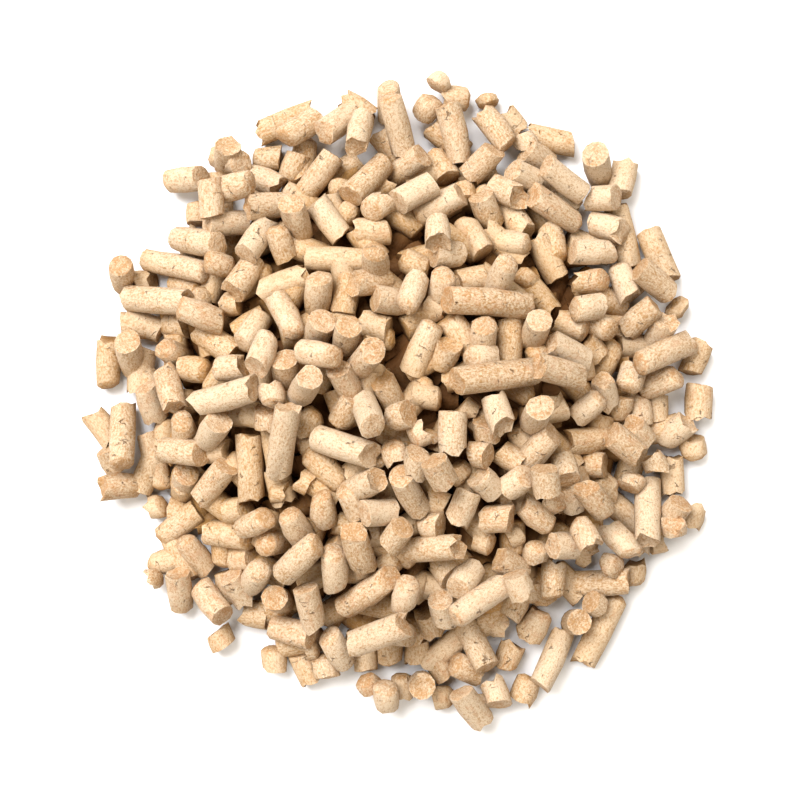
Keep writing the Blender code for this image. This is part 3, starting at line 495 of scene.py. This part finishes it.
# A node tree, with one method that adds any node: its type, its settings, the output to go on with,
# and the values or links of its sockets, by name or number.
class Nodes:
    def __init__(self, tree):
        self.tree = tree

    def add(self, kind, settings, output, sockets):
        node = self.tree.nodes.new(kind)
        for name, value in settings.items():
            setattr(node, name, value)
        for place, value in sockets.items():
            self.feed(node.inputs[place], value)
        return Value(self, node.outputs[output])

    def feed(self, socket, value):
        if isinstance(value, Value):
            self.tree.links.new(value.socket, socket)
        else:
            socket.default_value = value

    def maths(self, operation, *values):
        return self.add("ShaderNodeMath", {"operation": operation}, 0, dict(enumerate(values)))

    def attribute(self, name, output):
        return self.add("ShaderNodeAttribute", {"attribute_name": name}, output, {})

    def noise(self, vector, scale, detail, roughness, output="Fac"):
        return self.add("ShaderNodeTexNoise", {}, output,
                        {"Vector": vector, "Scale": scale, "Detail": detail, "Roughness": roughness})

    # Vector times a constant vector.
    def scaled(self, vector, factors):
        return self.add("ShaderNodeVectorMath", {"operation": "MULTIPLY"}, 0, {0: vector, 1: factors})

    # 0 below low, 1 above high, and a smooth step between.
    def step(self, value, low, high):
        return self.add("ShaderNodeMapRange", {"interpolation_type": "SMOOTHSTEP"}, "Result",
                        {"Value": value, "From Min": low, "From Max": high})

    # One colour laid over another by a factor.
    def mixed(self, factor, under, over):
        return self.add("ShaderNodeMix", {"data_type": "RGBA"}, 2, {0: factor, 6: under, 7: over})

    # A vector that goes over into another by a factor.
    def blended(self, factor, first, second):
        return self.add("ShaderNodeMix", {"data_type": "VECTOR"}, 1, {0: factor, 4: first, 5: second})


# Pressed sawdust: its colours, the most of each that is laid over the one before, the depths under
# the mound's surface, in millimetres, between which the amber and deep brown painted shade set in, and the
# relief in metres
sawdust = {"pale": (0.560, 0.435, 0.305, 1), "tan": (0.35, 0.198, 0.083, 1),
           "rust": (0.42, 0.18, 0.07, 1), "rustMost": 0.26,
           "capShade": (0.44, 0.26, 0.14, 1), "capShadeMost": 0.34,
           "speck": (0.16, 0.075, 0.03, 1), "speckMost": 0.80,
           "crack": (0.10, 0.05, 0.02, 1), "crackMost": 0.62,
           # Amber and deep brown are painted shade, laid on by depth under the mound's surface
           "amberPaintedShade": (0.43, 0.225, 0.045, 1), "amberPaintedShadeMost": 0.42, "amberPaintedShadeDepths": (-8.5, -1.0),
           "deepPaintedShade": (0.075, 0.026, 0.006, 1), "deepPaintedShadeMost": 0.94, "deepPaintedShadeDepths": (-4.8, 1.6),
           "roughness": 0.66, "specular": 0.12, "bumpDepth": 0.00023}

# Noises in the sawdust: scale per millimetre, detail and roughness. Stretches are factors along and
# across the pellet, and a smaller one draws the pattern out.
grain = {"mottle": (1.9, 4.0, 0.62), "fibre": (3.0, 3.0, 0.6), "fibreStretch": (0.35, 1, 1),
         "slow": (0.28, 2.0, 0.5), "fine": (5.5, 2.0, 0.6),
         "blotch": (0.75, 2.0, 0.5), "blotchStretch": (0.6, 1, 1),
         "cellStretch": (0.34, 0.11, 0.11), "cellWander": (0.9, 3.0, 0.5), "cellWanderShare": 0.22,
         "crackWidths": (0.004, 0.020), "broken": (0.45, 1.0, 0.5), "brokenSteps": (0.59, 0.69),
         "crackLossOnCaps": 0.6, "speckSteps": (0.585, 0.68), "rustSteps": (0.57, 0.74),
         "rustWarmth": 0.22, "ringWander": (1.1, 2.0, 0.5), "ringWanderTurn": 9, "ringTurn": 6.5}

# How much of each goes into the shade, in which 0 is pale and 1 is tan, and into the relief
shadeOf = {"mottle": 2.5, "fibre": 1.6, "paler": 1.75, "tone": 0.36, "slow": 0.6, "cap": 0.22,
           "capBlotch": 1.1}
reliefOf = {"mottle": 0.9, "fibre": 0.5, "fine": 0.45, "crack": 2.2, "rings": 0.25}


# The material: mottled by two noises, one of them drawn out along the pellet; rusty patches where a
# slow noise is high; rings on the ends, as a sine of the distance from the axis; specks where a fine
# noise is high; and cracks along the edges of long flat cells. Painted shade: the deeper a point lies
# under the mound's surface, the browner it is, amber and then deep brown, to darken the gaps.
def sawdustMaterial(name):
    material = bpy.data.materials.new(name)
    material.use_nodes = True
    nodes = Nodes(material.node_tree)
    shader = material.node_tree.nodes["Principled BSDF"].inputs
    place = nodes.attribute("pelletPlace", "Vector")
    across = nodes.scaled(nodes.attribute("pelletAcross", "Vector"), (0, 1, 1))
    cap = nodes.attribute("pelletCap", "Fac")
    tone = nodes.attribute("pelletTone", "Fac")
    warmth = nodes.attribute("pelletWarmth", "Fac")
    # Depth under the mound's surface, for the painted shade
    depth = nodes.attribute("paintedShadeDepth", "Fac")

    mottle = nodes.noise(place, *grain["mottle"])
    fibre = nodes.noise(nodes.scaled(place, grain["fibreStretch"]), *grain["fibre"])
    slow = nodes.noise(place, *grain["slow"])
    fine = nodes.noise(place, *grain["fine"])
    blotch = nodes.noise(nodes.scaled(place, grain["blotchStretch"]), *grain["blotch"])

    wander = nodes.noise(place, *grain["cellWander"], "Color")
    bent = nodes.blended(grain["cellWanderShare"], nodes.scaled(place, grain["cellStretch"]), wander)
    edge = nodes.add("ShaderNodeTexVoronoi", {"feature": "DISTANCE_TO_EDGE"}, "Distance",
                     {"Vector": bent, "Scale": 1.0})
    broken = nodes.step(nodes.noise(place, *grain["broken"]), *grain["brokenSteps"])
    crack = (1 - nodes.step(edge, *grain["crackWidths"])) * broken * (1 - grain["crackLossOnCaps"] * cap)
    speck = nodes.step(fine, *grain["speckSteps"])
    rusty = nodes.step(blotch + (warmth - 0.5) * grain["rustWarmth"], *grain["rustSteps"])
    out = nodes.add("ShaderNodeVectorMath", {"operation": "LENGTH"}, "Value", {0: across})
    wandering = nodes.noise(place, *grain["ringWander"]) * grain["ringWanderTurn"]
    rings = (nodes.maths("SINE", out * grain["ringTurn"] + wandering) * 0.5 + 0.5) * cap

    shade = mottle * shadeOf["mottle"] + fibre * shadeOf["fibre"] - shadeOf["paler"]
    shade = shade + (tone - 0.5) * shadeOf["tone"] + (slow - 0.5) * shadeOf["slow"]
    shade = shade + cap * (shadeOf["cap"] + (blotch - 0.5) * shadeOf["capBlotch"])
    colour = nodes.mixed(nodes.step(shade, 0.0, 1.0), sawdust["pale"], sawdust["tan"])
    colour = nodes.mixed(rusty * sawdust["rustMost"], colour, sawdust["rust"])
    colour = nodes.mixed(rings * sawdust["capShadeMost"], colour, sawdust["capShade"])
    colour = nodes.mixed(speck * sawdust["speckMost"], colour, sawdust["speck"])
    colour = nodes.mixed(crack * sawdust["crackMost"], colour, sawdust["crack"])
    # Painted shade for the gaps: amber, then deep brown, the deeper a point lies under the mound's surface
    for shadow in ("amberPaintedShade", "deepPaintedShade"):
        share = nodes.step(depth, *sawdust[shadow + "Depths"]) * sawdust[shadow + "Most"]
        colour = nodes.mixed(share, colour, sawdust[shadow])
    relief = mottle * reliefOf["mottle"] + fibre * reliefOf["fibre"] + fine * reliefOf["fine"]
    relief = relief - crack * reliefOf["crack"] - rings * reliefOf["rings"]
    bump = nodes.add("ShaderNodeBump", {}, "Normal",
                     {"Strength": 1.0, "Distance": sawdust["bumpDepth"], "Height": relief})
    nodes.feed(shader["Base Color"], colour)
    nodes.feed(shader["Normal"], bump)
    shader["Roughness"].default_value = sawdust["roughness"]
    shader["Specular IOR Level"].default_value = sawdust["specular"]
    return material


print("materials")
looseSawdust = sawdustMaterial("pressedSawdustLoose")
heapSawdust = sawdustMaterial("pressedSawdust")

print("pellets that lie loose")
rng = np.random.default_rng(form["seed"])
traits = pelletTraits(len(pellets), rng)


# Middle of a CAD node's box, in metres.
def nodeMiddle(node):
    low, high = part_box(node)
    return np.array((low + high) / 2)


# Each loose pellet's node stands where one of the pellets does: the nearest, which takes its place.
centres = np.array([p["centre"] for p in pellets])
looseNodes = sorted(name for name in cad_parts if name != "pellet_heap")
nodeOf = {}
for node in looseNodes:
    nearest = int(np.argmin(np.linalg.norm(centres - nodeMiddle(node), axis=1)))
    nodeOf[nearest] = node
    piece = pelletPiece(node.replace("_pellet_", "Pellet"), [pellets[nearest]], traitsOf(traits, [nearest]),
                        form, looseSawdust)
    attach(piece, "root")
    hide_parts(node)


# One piece of the heap, which takes the place of the solid heap together with the others.
def heapPiece(name, chosen, traits, look):
    piece = pelletPiece(name, chosen, traits, look, heapSawdust)
    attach(piece, "root")
    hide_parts("pellet_heap")


print("pellets of the heap")
for level, name in enumerate(("lowestPellets", "middlePellets", "upperPellets")):
    indices = [i for i, p in enumerate(pellets) if p["level"] == level and i not in nodeOf]
    heapPiece(name, [pellets[i] for i in indices], traitsOf(traits, indices), form)

# Degrees from one pellet of the spiral to the next, and the most that an end of these pellets slants,
# as a tangent
plain = {"goldenAngle": 137.508, "slant": 0.2}


# Place of the n-th of count pellets on a spiral: at reach times the root of its share of the count
# from the middle, one golden angle on from the last.
def spiralPlace(n, count, reach, start):
    distance = reach * math.sqrt((n + 0.5) / count)
    bearing = math.radians(plain["goldenAngle"]) * n + start
    return distance * math.cos(bearing), distance * math.sin(bearing)


# A lying pellet of the mean thickness, with its axis in any direction on the plan.
def plainPellet(rng, x, y, height, lengths):
    turn = rng.uniform(0, math.pi)
    return dict(centre=np.array([x, y, height]), axis=np.array([math.cos(turn), math.sin(turn), 0]),
                length=rng.uniform(*lengths), radius=bed["pelletDiameter"] / 2,
                slants=rng.uniform(-plain["slant"], plain["slant"], (2, 2)), turn=rng.uniform(0, math.tau))


# Full pellets on the mound and on the floor round it, under the ones of the tables
under = {"count": 125, "reach": 0.064, "lengths": (0.007, 0.012), "sink": 0.0020, "seed": 8}


# The under pellets, on the spiral, a little sunk in the mound where they lie on it.
def underPellets():
    rng = np.random.default_rng(under["seed"])
    found = []
    for n in range(under["count"]):
        x, y = spiralPlace(n, under["count"], under["reach"], 0)
        height = max(bedHeight(x, y) - under["sink"], 0) + bed["pelletDiameter"] / 2
        found.append(plainPellet(rng, x, y, height, under["lengths"]))
    return found


# Coarse pellets inside the mound, seen only in the gaps between the others. They have no cap rings,
# so that all of each is shaded as a cap, and added tone makes them darker: painted shade for the gaps.
inner = {"perLayer": 250, "layers": 3, "lengths": (0.008, 0.014), "sides": 10, "bodyRings": 2,
         "capRings": (), "reach": 0.054, "depth": 0.0032, "clearance": 1.2, "leastRoom": 0.0015,
         "tone": 0.8, "seed": 3}


# The inner pellets: layers on the spiral, each turned by a radian from the one below. They share out
# the room between the floor and a depth and a clearance in radii under the mound's surface. Where the
# room is too low, upper layers leave out a pellet.
def innerPellets():
    rng = np.random.default_rng(inner["seed"])
    radius = bed["pelletDiameter"] / 2
    found = []
    for layer in range(inner["layers"]):
        for n in range(inner["perLayer"]):
            x, y = spiralPlace(n, inner["perLayer"], inner["reach"], layer)
            room = max(bedHeight(x, y) - inner["depth"] - inner["clearance"] * radius, 0)
            if room >= layer * inner["leastRoom"]:
                height = radius + room * layer / (inner["layers"] - 1)
                found.append(plainPellet(rng, x, y, height, inner["lengths"]))
    return found


print("pellets inside the heap")
laid = underPellets()
heapPiece("underPellets", laid, pelletTraits(len(laid), rng), form)
hidden = innerPellets()
hiddenTraits = pelletTraits(len(hidden), rng)
# Painted shade: added tone darkens the inner pellets, which show only in the gaps
hiddenTraits["tone"] += inner["tone"]
heapPiece("innerPellets", hidden, hiddenTraits, inner)

print("floor, lights and camera")

# The photo's surroundings, in metres, with the camera's sensor and lens in millimetres
studio = {"floorSide": 1.2, "floorColour": (0.80, 0.80, 0.82, 1), "floorRoughness": 0.9,
          "floorSpecular": 0.1, "worldStrength": 0.02, "worldColour": (1.0, 0.99, 0.985, 1),
          "backdrop": (1, 1, 1, 1), "lampDistance": 1.30, "lampSide": 0.80,
          "cameraHeight": 0.320, "cameraX": 0.00095, "sensor": 36.0, "lens": 59.9, "clipStart": 0.01}

side = studio["floorSide"] / 2
floorCorners = np.array([(-side, -side, 0), (side, -side, 0), (side, side, 0), (-side, side, 0)])
floor = arrayObject("floor", floorCorners, np.array([[0, 1, 2, 3]]), np.empty((0, 3), int))
floorPaint = bpy.data.materials.new("floorPaint")
floorPaint.use_nodes = True
floorShader = floorPaint.node_tree.nodes["Principled BSDF"]
floorShader.inputs["Base Color"].default_value = studio["floorColour"]
floorShader.inputs["Roughness"].default_value = studio["floorRoughness"]
floorShader.inputs["Specular IOR Level"].default_value = studio["floorSpecular"]
floor.data.materials.append(floorPaint)

# White to the camera, to mirrors and through glass, and a softer light for everything else
world = bpy.data.worlds.new("studioWorld")
bpy.context.scene.world = world
world.use_nodes = True
world.node_tree.nodes.clear()
nodes = Nodes(world.node_tree)
seen = nodes.add("ShaderNodeLightPath", {}, "Is Camera Ray", {})
rays = seen.socket.node.outputs
for ray in ("Is Glossy Ray", "Is Transmission Ray"):
    seen = nodes.maths("MAXIMUM", seen, Value(nodes, rays[ray]))
lit = nodes.add("ShaderNodeBackground", {}, 0,
                {"Color": studio["worldColour"], "Strength": studio["worldStrength"]})
backdrop = nodes.add("ShaderNodeBackground", {}, 0, {"Color": studio["backdrop"]})
mixed = nodes.add("ShaderNodeMixShader", {}, 0, {0: seen, 1: lit, 2: backdrop})
output = world.node_tree.nodes.new("ShaderNodeOutputWorld")
nodes.feed(output.inputs["Surface"], mixed)

# Square soft lights round the heap that look at it: bearing and height in degrees, and power in watts.
# The strongest is at the upper left of the picture, and the others are warmer. None is overhead, so
# the gaps stay dark.
white = (1.0, 1.0, 1.0)
warm = (1.0, 0.93, 0.81)
lamps = {"keyLight": (130, 55, 36.8, white), "leftLight": (218, 48, 8.2, warm),
         "rightLight": (48, 48, 8.2, warm), "frontLight": (305, 50, 5.0, warm)}
for name, (bearing, height, power, colour) in lamps.items():
    light = bpy.data.lights.new(name, "AREA")
    light.shape = "SQUARE"
    light.size = studio["lampSide"]
    light.energy = power
    light.color = colour
    lamp = bpy.data.objects.new(name, light)
    flat = studio["lampDistance"] * math.cos(math.radians(height))
    lamp.location = (flat * math.cos(math.radians(bearing)), flat * math.sin(math.radians(bearing)),
                     studio["lampDistance"] * math.sin(math.radians(height)))
    lamp.rotation_euler = (-lamp.location).to_track_quat("-Z", "Y").to_euler()
    bpy.context.scene.collection.objects.link(lamp)

lens = bpy.data.cameras.new("photoCamera")
lens.sensor_width = studio["sensor"]
lens.lens = studio["lens"]
lens.clip_start = studio["clipStart"]
camera = bpy.data.objects.new("photoCamera", lens)
camera.location = (studio["cameraX"], 0, studio["cameraHeight"])
bpy.context.scene.collection.objects.link(camera)
bpy.context.scene.camera = camera
bpy.context.scene.view_settings.view_transform = "Standard"
